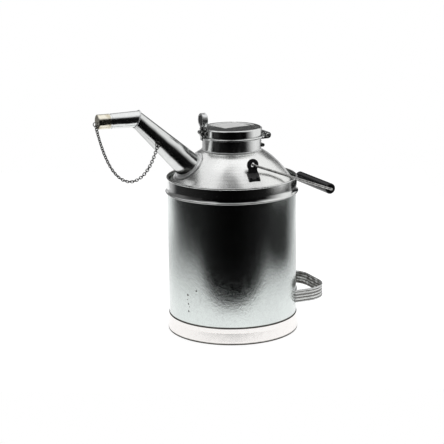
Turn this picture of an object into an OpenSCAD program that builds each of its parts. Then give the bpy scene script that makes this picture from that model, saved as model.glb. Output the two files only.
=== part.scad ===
// Ten-litre oil can in galvanised sheet: body, domed shoulder, neck with a hinged and clasped lid,
// bent spout with a chained cap, wire bail with a grip, and a ribbed tipping handle.
// Origin: centre of the foot on the floor. The spout points to -X, the lid's hinge and the
// tipping handle to +X, the bail ears sit at -Y (front) and +Y (rear).

/* [Body] */
// Outer diameter of the body cylinder
body_d = 214; // [200:1:230]
// Height of the rim above the floor
rim_h = 260; // [240:1:290]
// Thickness of the sheet
sheet = 0.8; // [0.6:0.1:1]
// Height of the foot band
foot_band_h = 27; // [20:1:36]
// How far the foot band flares out towards the floor
foot_flare = 1.4; // [0.6:0.1:3]
// Height of the bottom above the floor
bottom_h = 9; // [7:1:16]
// Height of the shoulder band, from its bead to the rim
top_band_h = 25; // [18:1:36]
// Radius of the wire in the rim
rim_wire_r = 1.6; // [1.2:0.1:2]
// Radius of the bead under the shoulder band
band_bead_r = 1.7; // [1.2:0.1:2]
// Depth of the gutter between rim and shoulder
gutter_depth = 13; // [8:1:18]

/* [Neck and lid] */
// Outer diameter of the neck
neck_d = 96.2; // [90:0.2:104]
// Height of the neck's foot above the floor
neck_foot_h = 304; // [298:1:316]
// Height of the neck
neck_h = 34; // [30:1:44]
// Height of the neck's bead above its foot
neck_bead_h = 21.6; // [20:0.2:23]
// How far the neck's bead stands out
neck_bead_out = 3.7; // [3:0.1:4]
// How far the lid's skirt stands off the neck, so that it can tip over the neck's edge
lid_gap = 0.8; // [0.7:0.1:1.2]
// Radius of the lid's upper edge
lid_edge_r = 2.4; // [1.6:0.1:3]
// Width of the raised ring round the lid's top
lid_ring_w = 5; // [4:0.5:8]
// Thickness of the lid's gasket
gasket_t = 2.3; // [1.6:0.1:3]

/* [Hinge and clasp] */
// Width of the hinge
hinge_w = 24; // [20:1:30]
// Distance from the neck to the hinge pin's axis
hinge_out = 13.3; // [12:0.1:16]
// Radius of the hinge pin
hinge_pin_r = 2; // [1.6:0.1:2.4]
// Thickness of the hinge straps
strap_t = 1.5; // [1.2:0.1:1.8]
// Distance from the neck to the clasp pin's axis
clasp_out = 6.3; // [6.2:0.1:7]
// Height of the clasp pin's axis above the neck's bead
clasp_rise = 9.9; // [9.4:0.1:10.4]
// Diameter of the thumb knob
knob_d = 23; // [18:1:25]
// Thickness of the thumb knob
knob_t = 9; // [6:0.5:9.5]
// Height of the knob's centre above the clasp pin
knob_rise = 20.2; // [19:0.1:24]
// Curls of the clasp spring
spring_turns = 3; // [2:1:3]
// Width of the clasp's saddle on the lid
saddle_w = 25; // [24:0.5:28]
// Radius of the rivets on the lid
lid_rivet_r = 1.3; // [1.1:0.1:1.4]
// Radius of the rivets that hold the hinge bracket
bracket_rivet_r = 1.5; // [1.2:0.1:1.6]
// Radius of the rivet through the knob
knob_rivet_r = 1.4; // [1.2:0.1:1.5]

/* [Spout] */
// Distance from the can's axis to the spout's bend
bend_x = 165; // [155:1:180]
// Height of the spout's bend above the floor
bend_h = 366; // [360:1:376]
// Distance from the can's axis to the middle of the spout's foot on the shoulder
spout_foot_x = 77; // [75:0.5:80]
// Radius of both tubes at the bend
bend_r = 13.1; // [12:0.1:14]
// Growth of the long tube's radius per millimetre
spout_taper = 0.077; // [0.05:0.001:0.085]
// Length of the outlet tube from the bend to its tip
outlet_l = 65; // [56:1:80]
// Radius of the outlet's straight end, where the cap sits
spigot_r = 11.2; // [10:0.1:12]
// Length of the cap
cap_l = 20; // [16:1:26]
// Width of the flange round the spout's foot
collar_w = 3.5; // [2:0.5:5]

/* [Chain] */
// Number of links, odd so that both end links lie the same way
chain_links = 27; // [25:2:31]
// Pitch of the links
link_pitch = 7; // [6.8:0.1:7.6]
// Radius of the link wire
link_wire_r = 0.6; // [0.5:0.05:0.65]
// Distance of the chain's staple from the bend, along the long tube
staple_run = 46; // [40:1:60]

/* [Bail] */
// Distance of each ear from the can's middle plane
ear_y = 83; // [78:0.5:85]
// Height of the ear's eye above the shoulder at that place
ear_rise = 15.5; // [12:0.5:17]
// Outer radius of the ear's eye
ear_r = 9.7; // [8.5:0.1:10.5]
// Radius of the hole in the ear
ear_hole_r = 3.5; // [3:0.1:4]
// Thickness of the ear's plate
ear_t = 2.4; // [2:0.1:3]
// Radius of the bail's wire
bail_wire_r = 2; // [1.6:0.1:2.3]
// Length of the bail from the ears to the grip's axis
bail_l = 166; // [152:1:170]
// Length of the grip
grip_l = 116; // [100:1:122]
// Radius of the grip
grip_r = 9; // [7.5:0.5:10]
// Radius of the ears' rivets
ear_rivet_r = 1.5; // [1.2:0.1:1.8]

/* [Tipping handle] */
// Height of the tipping handle's middle above the floor
tip_handle_h = 55; // [45:1:90]
// Width of the strap
tip_strap_w = 22; // [18:1:28]
// Thickness of the strap
tip_strap_t = 1.2; // [1:0.1:1.6]
// Half width of the loop
tip_half_w = 62; // [54:1:66]
// How far the loop stands out from the body
tip_out = 47; // [42:1:56]
// Radius of the loop's outer corners
tip_corner_r = 41; // [34:1:46]
// Number of pressed ribs between the wired edges
tip_ribs = 3; // [2:1:4]
// Radius of the handle's rivets
handle_rivet_r = 2; // [1.6:0.1:2.4]

/* [Clearances] */
// Gap between pieces that are seated on each other
seat = 0.1; // [0.06:0.01:0.15]
// Radial running clearance of pins and of the cap
run_gap = 0.06; // [0.03:0.01:0.1]
// Gap between pieces that move past each other
move_gap = 0.4; // [0.3:0.05:0.5]
// Gap round the rivets in their holes
rivet_gap = 0.05; // [0.03:0.01:0.08]

/* [Hidden] */
$fn = 64;
eps = 0.01;
lap = 0.1;
steel = "#b9bdbe";
dark_steel = "#6f7476";

// Body
body_r = body_d / 2;
body_in = body_r - sheet;
shell_foot = 6;
rim_centre_r = body_r + seat - 0.15;
rim_wire_h = rim_h - rim_wire_r;
shell_top = rim_h - 2 * rim_wire_r - seat;
band_in = body_r + seat;
band_out = band_in + sheet;
band_bead_h = rim_h - top_band_h;
band_flare_h = 9;
foot_r = band_out + foot_flare;
hem_h = 5;
seam_angle = 60;
seam_w = 9;
flange_h = 11;

// Shoulder and neck
neck_r = neck_d / 2;
neck_in = neck_r - sheet;
neck_top = neck_foot_h + neck_h;
neck_bead_z = neck_foot_h + neck_bead_h;
neck_bead_r = 1.9;
collar_r = neck_in - seat;
shoulder_r = body_in - seat;
shoulder_foot = rim_h - gutter_depth;
shoulder_steps = 14;
shoulder_curve = bend_curve([shoulder_r, shoulder_foot], [neck_r + 26, neck_foot_h - 11.5],
                            [neck_r, neck_foot_h], shoulder_steps);

// Lid
lid_in = neck_r + lid_gap;
lid_r = lid_in + sheet;
lid_under = neck_top + seat + gasket_t;
lid_top = lid_under + sheet;
lid_foot = neck_bead_z + neck_bead_r + 2 * move_gap;

// Hinge and clasp
hinge_x = neck_r + hinge_out;
hinge_bore_r = hinge_pin_r + run_gap;
barrel_r = hinge_bore_r + strap_t + 1.9;
tongue_z = neck_bead_z + neck_bead_r + move_gap;
hinge_z = tongue_z + strap_t - barrel_r;
knuckle_l = 9.6;
clasp_x = -(neck_r + clasp_out);
clasp_z = neck_bead_z + clasp_rise;
clasp_pin_r = 1.5;
clasp_bore_r = clasp_pin_r + run_gap;
lever_w = 7.6;
lever_t = 1.6;
cheek_t = 1.2;
cheek_in = 5.2;
knob_z = clasp_z + knob_rise;
knob_x = clasp_x + 4.3;
blade_x = clasp_x + 2.1;
tail_t = 1.2;
slot_gap = 0.1;
hook_x = -(neck_r + neck_bead_out + 0.3);
spring_wire_r = 0.35;
spring_pitch = 0.95;
spring_room = lever_w / 2 - cheek_in + spring_turns * spring_pitch + 2 * spring_wire_r + 0.5;
spring_r = clasp_bore_r + 0.9;

// Spout
bend = [-bend_x, 0, bend_h];
spigot_l = cap_l + 2;
tip_x = -(bend_x + outlet_l);
cap_wall = 0.6;
cap_in = spigot_r + run_gap;
cap_r = cap_in + cap_wall;
cap_inner_end = tip_x - move_gap;
cap_end = cap_inner_end - cap_wall;
spout_foot_z = shoulder_height(spout_foot_x);
spout_pitch = atan2(bend_h - spout_foot_z, bend_x - spout_foot_x);
spout_run = norm([bend_x - spout_foot_x, bend_h - spout_foot_z]);
lower_l = spout_run + 2 * (bend_r + spout_taper * spout_run);
mitre_block = 3 * outlet_l;

// Chain
eye_r = 3.4;
eye_wire_r = 0.7;
eye_c = [cap_end - 3, 0, bend_h - 3.5];
link_gap = 0.3;
link_in = link_pitch + link_gap;
link_bend_r = 1.75;
link_hold = eye_wire_r + link_wire_r + 0.25;
staple_angle = 31;
staple_r = 3.2;
ring_r = 4;
ring_turn = -40;
ring_tilt = 130;
staple_at = bend + along_spout(staple_run) + off_spout(bend_r + spout_taper * staple_run);
ring_hold = staple_at + off_spout((staple_r - eye_wire_r) / 2 + seat);
ring_c = ring_hold - ring_r * in_ring(ring_tilt);
link_reach = link_wire_r + link_gap / 2;
eye_hang = -78;
ring_hang = -108;
chain_a = eye_c + (eye_r - link_hold) * [cos(eye_hang), 0, sin(eye_hang)];
chain_b = ring_c + (ring_r - link_hold) * in_ring(ring_hang);
chain_l = chain_links * link_pitch + 2 * link_reach;
chain_h = norm([chain_b[0] - chain_a[0], chain_b[1] - chain_a[1]]);
chain_v = chain_b[2] - chain_a[2];
chain_turn = atan2(chain_b[1] - chain_a[1], chain_b[0] - chain_a[0]);
sag = find_sag(chain_h, sqrt(chain_l * chain_l - chain_v * chain_v), chain_l / 24, chain_l, 40);
sag_low = chain_h / 2 - sag * atanh(chain_v / chain_l);

// Bail
ear_seat_z = shoulder_height(ear_y);
ear_z = ear_seat_z + ear_rise;
ear_foot_w = 19;
ear_foot_l = 7.6;
bail_ear_y = ear_y + ear_t / 2 + bail_wire_r + 0.15 * ear_r + 0.4;
bail_end_y = ear_y - ear_t / 2 - 4;
grip_bore_r = bail_wire_r + 0.4;
corner_y = grip_l / 2 + 7;
corner_r = 7;
rest_x = sqrt(pow(rim_centre_r + rim_wire_r, 2) - pow((bail_ear_y + corner_y) / 2, 2));
rest_drop = ear_z - rim_h - bail_wire_r / cos(20) - 0.3;
bail_rest = atan2(rest_drop, rest_x);

// Tipping handle
tip_in_r = body_r + seat;
tip_x_end = body_r + tip_out;
tip_foot_angle = asin(tip_half_w / tip_in_r);
tip_edge_r = 1.5;
tip_rib_r = 1.1;
rivet_angles = [-27, -13, 13, 27];

function reverse(p) = [for (i = [len(p) - 1:-1:0]) p[i]];
function unit(v) = v / norm(v);
function left_of(a, b) = let (d = unit(b - a)) [-d[1], d[0]];
// A path moved sideways by t, with mitred corners
function beside(p, t) = [
    for (i = [0:len(p) - 1])
        let (
            n = len(p) - 1,
            a = left_of(p[max(i - 1, 0)], p[max(i, 1)]),
            b = left_of(p[min(i, n - 1)], p[min(i + 1, n)]),
            m = a + b
        )
        p[i] + t * m * 2 / (m * m)
];
// Outline of a sheet of thickness t that follows path p
function sheet_outline(p, t) = concat(p, reverse(beside(p, t)));
function bend_curve(a, b, c, steps) = [
    for (i = [0:steps]) let (t = i / steps) (1 - t) * (1 - t) * a + 2 * t * (1 - t) * b + t * t * c
];
function arc(c, r, from, to, steps) = [
    for (i = [0:steps]) let (t = from + (to - from) * i / steps) c + r * [cos(t), sin(t)]
];
function shoulder_height(r) = lookup(r, [for (p = reverse(shoulder_curve)) p]);
function along_spout(run) = run * [cos(spout_pitch), 0, -sin(spout_pitch)];
// Direction square to the spout, on the chain's side and a little below it
function off_spout(d) = d * (cos(staple_angle) * [0, -1, 0]
                             + sin(staple_angle) * [-sin(spout_pitch), 0, -cos(spout_pitch)]);
function cosh_of(x) = (exp(x) + exp(-x)) / 2;
function sinh_of(x) = (exp(x) - exp(-x)) / 2;
function atanh(x) = ln((1 + x) / (1 - x)) / 2;
function asinh(x) = ln(x + sqrt(x * x + 1));
// Direction in the plane of the hanging ring, a degrees up from level
function in_ring(a) = [cos(a) * cos(ring_turn), cos(a) * sin(ring_turn), sin(a)];
// Catenary constant for a span h, found by halving the interval
function find_sag(h, target, low, high, steps) =
    let (mid = (low + high) / 2)
    steps == 0 ? mid
        : 2 * mid * sinh_of(h / (2 * mid)) > target ? find_sag(h, target, mid, high, steps - 1)
        : find_sag(h, target, low, mid, steps - 1);
// Point of the hanging chain at distance s along it
function chain_point(s) =
    let (
        from_low = s - sag * sinh_of(sag_low / sag),
        x = sag_low + sag * asinh(from_low / sag),
        drop = sag * (cosh_of(sag_low / sag) - cosh_of((x - sag_low) / sag))
    )
    chain_a + [x * cos(chain_turn), x * sin(chain_turn), -drop];

module turned(p) {
    rotate_extrude() polygon(p);
}

module ring_of(r, wire_r) {
    rotate_extrude() translate([r, 0]) circle(r = wire_r, $fn = 24);
}

// Plate curved to radius r round the Z axis, facing +X, w wide, from z0 to z1
module curved_plate(r, t, w, z0, z1) {
    intersection() {
        translate([0, 0, z0]) difference() {
            cylinder(r = r + t, h = z1 - z0);
            translate([0, 0, -1]) cylinder(r = r, h = z1 - z0 + 2);
        }
        translate([0, -w / 2, z0 - 1]) cube([2 * r, w, z1 - z0 + 2]);
    }
}

// Rivet along +Z: the head's base at z = 0, its shank through a stack of the given thickness
module rivet(r, stack) {
    head_r = 1.7 * r;
    intersection() {
        translate([0, 0, 0.75 * head_r - 1.25 * head_r]) sphere(r = 1.25 * head_r, $fn = 32);
        cylinder(r = head_r, h = head_r);
    }
    translate([0, 0, -stack]) cylinder(r = r, h = stack);
}

// Rivet with an upset tail on the far side
module tailed_rivet(r, stack) {
    rivet(r, stack);
    translate([0, 0, -stack - 0.6 * r]) cylinder(r = 1.4 * r, h = 0.6 * r);
}

module rivet_hole(r) {
    translate([0, 0, -3 * r]) cylinder(r = r + rivet_gap, h = 4.5 * r);
}

module body_shell() {
    color(steel) {
        difference() {
            translate([0, 0, shell_foot]) cylinder(r = body_r, h = shell_top - shell_foot);
            translate([0, 0, -1]) cylinder(r = body_in, h = rim_h);
            handle_rivet_places() rivet_hole(handle_rivet_r);
        }
        rotate([0, 0, seam_angle]) intersection() {
            translate([0, 0, foot_band_h + 1]) difference() {
                cylinder(r = body_r + sheet, h = band_bead_h - foot_band_h - 4);
                translate([0, 0, -1]) cylinder(r = body_r - sheet / 2, h = rim_h);
            }
            translate([0, -seam_w / 2, 0]) cube([2 * body_r, seam_w, rim_h]);
        }
    }
}

module foot_band() {
    hem_t = 2 * sheet + 0.5;
    color(steel) turned([
        [band_in, foot_band_h],
        [band_in, foot_band_h - 9],
        [foot_r - hem_t, hem_h],
        [foot_r - hem_t, 0],
        [foot_r, 0],
        [foot_r, hem_h],
        [band_out, foot_band_h - 8],
        [band_out, foot_band_h]
    ]);
}

module bottom_disc() {
    edge = body_in - seat;
    color(steel) turned(sheet_outline([
        [0, bottom_h + 2],
        [edge - 38, bottom_h + 2],
        [edge - 42 + 8, bottom_h],
        [edge - 12, bottom_h],
        [edge - 8, bottom_h - 2],
        [edge - 1.5, bottom_h - 2],
        [edge, bottom_h - 0.5],
        [edge, bottom_h + flange_h]
    ], sheet));
}

module top_band() {
    flare_top = band_bead_h + band_flare_h;
    bead_c = band_in + band_bead_r;
    color(steel) difference() {
        rotate_extrude() {
            polygon(concat(
                [[band_in, band_bead_h], [band_in, rim_wire_h], [band_out, rim_wire_h]],
                bend_curve([band_out, flare_top], [band_out, band_bead_h + 4],
                           [bead_c + band_bead_r / 2, band_bead_h + 0.8 * band_bead_r], 6),
                [[bead_c, band_bead_h]]
            ));
            translate([bead_c, band_bead_h]) circle(r = band_bead_r, $fn = 24);
            translate([rim_centre_r, rim_wire_h]) circle(r = rim_wire_r, $fn = 24);
        }
        translate([0, 0, band_bead_h - 5]) cylinder(r = body_r + seat / 2, h = shell_top - band_bead_h + 5.05);
    }
}

// Solid under the shoulder's outer surface, moved out by t
module under_shoulder(t) {
    curve = beside(shoulder_curve, -t);
    rotate_extrude() polygon(concat(
        [[0, shoulder_foot - 30], [shoulder_r + t, shoulder_foot - 30]],
        curve,
        [[0, curve[shoulder_steps][1]]]
    ));
}

module shoulder() {
    path = concat(
        [[shoulder_r, shoulder_foot - 8]],
        shoulder_curve,
        [[collar_r, neck_foot_h], [collar_r, neck_foot_h + 8]]
    );
    color(steel) difference() {
        rotate_extrude() polygon(sheet_outline(path, sheet));
        spout_cone(seat);
        ear_rivet_places() rivet_hole(ear_rivet_r);
    }
}

module neck() {
    bead = arc([neck_r + neck_bead_out - neck_bead_r, neck_bead_z], neck_bead_r, -90, 90, 8);
    mouth_r = 1.2;
    path = concat(
        [[neck_r, neck_foot_h + seat], [neck_r, neck_bead_z - neck_bead_r]],
        bead,
        [[neck_r, neck_bead_z + neck_bead_r]],
        arc([neck_r - mouth_r, neck_top - mouth_r], mouth_r, 0, 180, 6),
        [[neck_r - 2 * mouth_r, neck_top - mouth_r - 1]]
    );
    color(steel) difference() {
        rotate_extrude() polygon(sheet_outline(path, sheet));
        bracket_rivet_places() rivet_hole(bracket_rivet_r);
    }
}

module lid() {
    edge = lid_r - lid_edge_r;
    ring_in = edge - lid_ring_w;
    path = concat(
        [[lid_r, lid_foot]],
        arc([edge, lid_top - lid_edge_r], lid_edge_r, 0, 90, 5),
        [[ring_in, lid_top], [ring_in - 1.2, lid_top - 1.1]],
        crown(ring_in - 1.8, lid_top - 1.1, lid_top - 0.1, 6),
        [[0, lid_top - 0.1]]
    );
    color(steel) difference() {
        turned(sheet_outline(path, sheet));
        strap_rivet_places() rivet_hole(lid_rivet_r);
        lug_rivet_places() rivet_hole(lid_rivet_r);
    }
}

// Shallow crown that rises from z0 at radius r to z1 near the axis
function crown(r, z0, z1, steps) = [
    for (i = [0:steps]) let (t = i / steps) [r + (5 - r) * t, z0 + (z1 - z0) * (2 - t) * t]
];

module lid_gasket() {
    foot = lid_under - gasket_t;
    outer = lid_in - 0.3;
    inner = lid_r - lid_edge_r - lid_ring_w + 0.8;
    color("#4b4038") turned([
        [inner, foot],
        [outer, foot],
        [outer, lid_top - lid_edge_r - 0.3],
        [outer - lid_edge_r / 2, lid_under - seat],
        [inner, lid_under - seat]
    ]);
}

// Knuckle round the hinge axis, between y0 and y1
module knuckle(y0, y1, outer_r, bore_r) {
    translate([0, y1, 0]) rotate([90, 0, 0]) difference() {
        cylinder(r = outer_r, h = y1 - y0);
        translate([0, 0, -1]) cylinder(r = bore_r, h = y1 - y0 + 2);
    }
}

module strap_rivet_places() {
    for (y = [-7, 7])
        rotate([0, 0, asin(y / lid_r)])
            translate([lid_r + seat + strap_t + rivet_gap, 0, lid_top - 5])
                rotate([0, 90, 0]) children();
}

module hinge_strap() {
    leaf_r = lid_r + seat;
    color(steel) difference() {
        union() {
            curved_plate(leaf_r, strap_t, hinge_w, tongue_z, lid_top - lid_edge_r);
            difference() {
                translate([lid_r - 2, -knuckle_l / 2, tongue_z]) cube([hinge_x - lid_r + 2, knuckle_l, strap_t]);
                cylinder(r = leaf_r, h = 2 * rim_h);
            }
            translate([hinge_x, 0, hinge_z]) knuckle(-knuckle_l / 2, knuckle_l / 2, barrel_r, hinge_bore_r);
        }
        translate([hinge_x, 0, hinge_z]) rotate([90, 0, 0]) cylinder(r = hinge_bore_r, h = hinge_w, center = true);
        strap_rivet_places() rivet_hole(lid_rivet_r);
    }
}

module strap_rivets() {
    color(dark_steel) strap_rivet_places() rivet(lid_rivet_r, strap_t + sheet + seat + rivet_gap);
}

module bracket_rivet_places() {
    for (y = [-7, 7])
        rotate([0, 0, asin(y / neck_r)])
            translate([neck_r + seat + strap_t + rivet_gap, 0, neck_foot_h + 11])
                rotate([0, 90, 0]) children();
}

module hinge_bracket() {
    leaf_r = neck_r + seat;
    roll_r = 2.9;
    roll_x = leaf_r + strap_t + roll_r - 0.4;
    foot_z = neck_foot_h + 1.2;
    arm_z = hinge_z - barrel_r;
    side_l = (hinge_w - knuckle_l) / 2 - 0.4;
    color(steel) difference() {
        union() {
            curved_plate(leaf_r, strap_t, hinge_w, foot_z, arm_z + strap_t);
            difference() {
                translate([neck_r - 3, -hinge_w / 2, foot_z]) cube([roll_x - neck_r + 3, hinge_w, strap_t]);
                cylinder(r = leaf_r, h = 2 * rim_h);
            }
            translate([roll_x, 0, foot_z + roll_r]) knuckle(-hinge_w / 2, hinge_w / 2, roll_r, roll_r - strap_t);
            for (side = [-1, 1]) {
                mid = side * (hinge_w - side_l) / 2;
                difference() {
                    translate([neck_r - 3, mid - side_l / 2, arm_z]) cube([hinge_x - neck_r + 3, side_l, strap_t]);
                    cylinder(r = leaf_r, h = 2 * rim_h);
                }
                translate([hinge_x, 0, hinge_z])
                    knuckle(mid - side_l / 2, mid + side_l / 2, barrel_r, hinge_bore_r);
            }
        }
        translate([hinge_x, 0, hinge_z]) rotate([90, 0, 0]) cylinder(r = hinge_bore_r, h = 2 * hinge_w, center = true);
        bracket_rivet_places() rivet_hole(bracket_rivet_r);
    }
}

module bracket_rivets() {
    color(dark_steel) bracket_rivet_places() tailed_rivet(bracket_rivet_r, strap_t + sheet + 3 * seat);
}

module hinge_pin() {
    head_l = 1.2;
    color(dark_steel) translate([hinge_x, 0, hinge_z]) rotate([90, 0, 0]) {
        cylinder(r = hinge_pin_r, h = hinge_w + 2 * seat, center = true);
        for (side = [0, 1]) mirror([0, 0, side])
            translate([0, 0, hinge_w / 2 + seat])
                cylinder(r1 = barrel_r - 1.6, r2 = barrel_r - 2.4, h = head_l);
    }
}

module lug_rivet_places() {
    for (y = [-9.4, 9.4])
        rotate([0, 0, 180 + asin(y / lid_r)])
            translate([lid_r + seat + cheek_t + rivet_gap, 0, clasp_z - 1])
                rotate([0, 90, 0]) children();
}

module clasp_lug() {
    saddle_r = lid_r + seat;
    plate_z = clasp_z - 4.6;
    eye = clasp_pin_r + 1.7;
    color(steel) difference() {
        union() {
            rotate([0, 0, 180]) curved_plate(saddle_r, cheek_t, saddle_w, plate_z, clasp_z + 1.6);
            for (side = [-1, 1]) {
                y0 = side * (cheek_in + cheek_t / 2) - cheek_t / 2;
                difference() {
                    translate([clasp_x, y0, plate_z]) cube([-clasp_x - lid_r + 4, cheek_t, 7.6]);
                    cylinder(r = saddle_r, h = 2 * rim_h);
                }
                translate([clasp_x, y0 + cheek_t, clasp_z]) rotate([90, 0, 0]) cylinder(r = eye, h = cheek_t);
            }
        }
        translate([clasp_x, 0, clasp_z]) rotate([90, 0, 0]) cylinder(r = clasp_bore_r, h = 30, center = true);
        lug_rivet_places() rivet_hole(lid_rivet_r);
    }
}

module lug_rivets() {
    color(dark_steel) lug_rivet_places() rivet(lid_rivet_r, cheek_t + sheet + seat + rivet_gap);
}

module clasp_lever() {
    eye = clasp_bore_r + 1.4;
    hook_z = neck_bead_z - 3.4;
    out_x = hook_x - lever_t;
    color(steel) difference() {
        union() {
            translate([0, lever_w / 2, 0]) rotate([90, 0, 0]) linear_extrude(lever_w) polygon([
                [hook_x, hook_z],
                [out_x + 0.4, hook_z],
                [out_x, hook_z + 0.6],
                [out_x, neck_bead_z + 1.4],
                [clasp_x - eye + 0.3, clasp_z - 0.6],
                [clasp_x - eye + 1.1, clasp_z + 1.8],
                [blade_x - lever_t / 2, clasp_z + 3.4],
                [blade_x - lever_t / 2, knob_z + 3],
                [blade_x + lever_t / 2, knob_z + 3],
                [blade_x + lever_t / 2, clasp_z + 0.4],
                [clasp_x + eye - 1.2, clasp_z - 2.2],
                [hook_x, neck_bead_z + 2.2],
                [hook_x, hook_z + lever_t]
            ]);
            translate([clasp_x, lever_w / 2, clasp_z]) rotate([90, 0, 0]) cylinder(r = eye, h = lever_w);
        }
        knob_rivet_place() rivet_hole(knob_rivet_r);
        translate([clasp_x, 0, clasp_z]) rotate([90, 0, 0]) {
            cylinder(r = clasp_bore_r, h = 30, center = true);
            for (side = [0, 1]) mirror([0, 0, side])
                translate([0, 0, lever_w / 2 - spring_room])
                    cylinder(r = spring_r + spring_wire_r + 0.4, h = spring_room + 1);
        }
    }
}

module clasp_pin() {
    end = cheek_in + cheek_t + seat;
    color(dark_steel) translate([clasp_x, 0, clasp_z]) rotate([90, 0, 0]) {
        cylinder(r = clasp_pin_r, h = 2 * end, center = true);
        for (side = [0, 1]) mirror([0, 0, side])
            translate([0, 0, end]) cylinder(r1 = clasp_pin_r + 0.9, r2 = clasp_pin_r + 0.4, h = 0.8);
    }
}

// Torsion spring: a leg along the saddle, then curls round the pin
spring_rings = 8;
spring_sides = 6;
function spring_point(i) =
    let (a = 360 * i / spring_rings)
    [spring_r * cos(a), spring_r * sin(a), spring_pitch * i / spring_rings];
spring_path = concat(
    [for (k = [4:-1:1]) spring_point(0) - [0, k * 0.9, 0]],
    [for (i = [0:spring_turns * spring_rings]) spring_point(i)]
);
module spring_tube(path, r, sides) {
    n = len(path);
    points = [
        for (i = [0:n - 1])
            let (
                d = unit(path[min(i + 1, n - 1)] - path[max(i - 1, 0)]),
                u = unit(cross(d, [0, 0, 1])),
                v = cross(d, u)
            )
            for (k = [0:sides - 1]) path[i] + r * (cos(360 * k / sides) * u + sin(360 * k / sides) * v)
    ];
    walls = [
        for (i = [0:n - 2], k = [0:sides - 1])
            let (a = i * sides + k, b = i * sides + (k + 1) % sides)
            each [[a, b + sides, b], [a, a + sides, b + sides]]
    ];
    last = (n - 1) * sides;
    ends = concat(
        [for (k = [1:sides - 2]) [0, k, k + 1]],
        [for (k = [1:sides - 2]) [last, last + k + 1, last + k]]
    );
    polyhedron(points, concat(walls, ends));
}

module clasp_spring() {
    color(dark_steel) translate([clasp_x, cheek_in - spring_wire_r - 0.2, clasp_z])
        rotate([90, 0, 0]) spring_tube(spring_path, spring_wire_r, spring_sides);
}

module knob_rivet_place() {
    translate([blade_x - lever_t / 2 - slot_gap - tail_t, 0, knob_z - knob_d / 2 - 2.8])
        rotate([0, -90, 0]) translate([0, 0, rivet_gap]) children();
}

module thumb_knob() {
    edge = 0.9;
    color(steel) difference() {
        union() {
            translate([blade_x - lever_t / 2 - slot_gap - tail_t, -lever_w / 2 + 0.4, knob_z - knob_d / 2 - 5])
                cube([tail_t, lever_w - 0.8, knob_d / 2]);
            translate([knob_x, 0, knob_z]) rotate([0, 90, 0]) rotate_extrude() polygon([
                [0, -knob_t / 2 + 0.5],
                [knob_d / 2 - 3, -knob_t / 2 + 0.5],
                [knob_d / 2 - 2.4, -knob_t / 2],
                [knob_d / 2 - edge, -knob_t / 2],
                [knob_d / 2, -knob_t / 2 + edge],
                [knob_d / 2, knob_t / 2 - edge],
                [knob_d / 2 - edge, knob_t / 2],
                [knob_d / 2 - 2.4, knob_t / 2],
                [knob_d / 2 - 3, knob_t / 2 - 0.5],
                [0, knob_t / 2 - 0.5]
            ]);
        }
        translate([blade_x - lever_t / 2 - slot_gap, -lever_w / 2 - slot_gap, knob_z - knob_d])
            cube([lever_t + 2 * slot_gap, lever_w + 2 * slot_gap, knob_d + 3 + slot_gap]);
        knob_rivet_place() rivet_hole(knob_rivet_r);
    }
}

module knob_rivet() {
    color(dark_steel) knob_rivet_place() rivet(knob_rivet_r, lever_t + tail_t + slot_gap + rivet_gap);
}

module down_spout() {
    translate(bend) rotate([0, 90 + spout_pitch, 0]) children();
}

module cone_run(z0, z1, growth, grow) {
    translate([0, 0, z0])
        cylinder(r1 = bend_r + growth * z0 + grow, r2 = bend_r + growth * z1 + grow, h = z1 - z0);
}

// Long tube's outer cone, moved out by grow
module spout_cone(grow) {
    down_spout() cone_run(40, lower_l, spout_taper, grow);
}

// Everything on the outlet's side of the mitre
module past_mitre() {
    translate(bend) rotate([0, spout_pitch / 2, 0])
        translate([-mitre_block, -mitre_block / 2, -mitre_block / 2]) cube(mitre_block);
}

module spout_lower() {
    color(steel) difference() {
        down_spout() difference() {
            cone_run(-14, lower_l, spout_taper, 0);
            cone_run(-15, lower_l + 1, spout_taper, -sheet);
        }
        past_mitre();
        under_shoulder(-sheet - 3);
        translate([0, 0, -1]) cylinder(r = body_in, h = shoulder_foot - 20);
    }
}

module spout_outlet() {
    taper_l = outlet_l - spigot_l;
    growth = (spigot_r + cap_wall - bend_r) / taper_l;
    color(steel) intersection() {
        translate(bend) rotate([0, -90, 0]) difference() {
            union() {
                cone_run(-14, taper_l, growth, 0);
                translate([0, 0, taper_l - eps]) cylinder(r = spigot_r, h = spigot_l + eps);
            }
            cone_run(-15, taper_l - 1, growth, -sheet);
            translate([0, 0, taper_l - 2]) cylinder(r = spigot_r - sheet, h = spigot_l + 3);
        }
        past_mitre();
    }
}

module spout_collar() {
    color(steel) difference() {
        intersection() {
            difference() {
                under_shoulder(seat + 1.1);
                under_shoulder(seat);
            }
            spout_cone(collar_w);
        }
        spout_cone(seat);
        cylinder(r = neck_r + seat, h = 2 * rim_h);
    }
}

module outlet_cap() {
    sleeve_start = cap_end + cap_l;
    color("#c9b98c") translate([sleeve_start, 0, bend_h]) rotate([0, -90, 0]) difference() {
        union() {
            cylinder(r = cap_r, h = cap_l - 0.8);
            translate([0, 0, cap_l - 0.8 - eps]) cylinder(r1 = cap_r, r2 = cap_r - 0.8, h = 0.8 + eps);
        }
        translate([0, 0, -1]) cylinder(r = cap_in, h = cap_l - cap_wall + 1);
    }
}

module cap_eye() {
    color(dark_steel) intersection() {
        translate(eye_c) rotate([90, 0, 0]) ring_of(eye_r, eye_wire_r);
        translate([cap_end - 30, -20, bend_h - 20]) cube([30, 40, 40]);
    }
}

// One link lying along X, its flat side square to Z
module link() {
    half = link_in / 2 + link_wire_r - link_bend_r;
    for (side = [0, 1]) mirror([side, 0, 0]) {
        translate([half, 0, 0]) rotate([0, 0, -90]) rotate_extrude(angle = 180)
            translate([link_bend_r, 0]) circle(r = link_wire_r, $fn = 16);
        for (y = [-link_bend_r, link_bend_r])
            translate([-eps, y, 0]) rotate([0, 90, 0]) cylinder(r = link_wire_r, h = half + 2 * eps, $fn = 16);
    }
}

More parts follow.
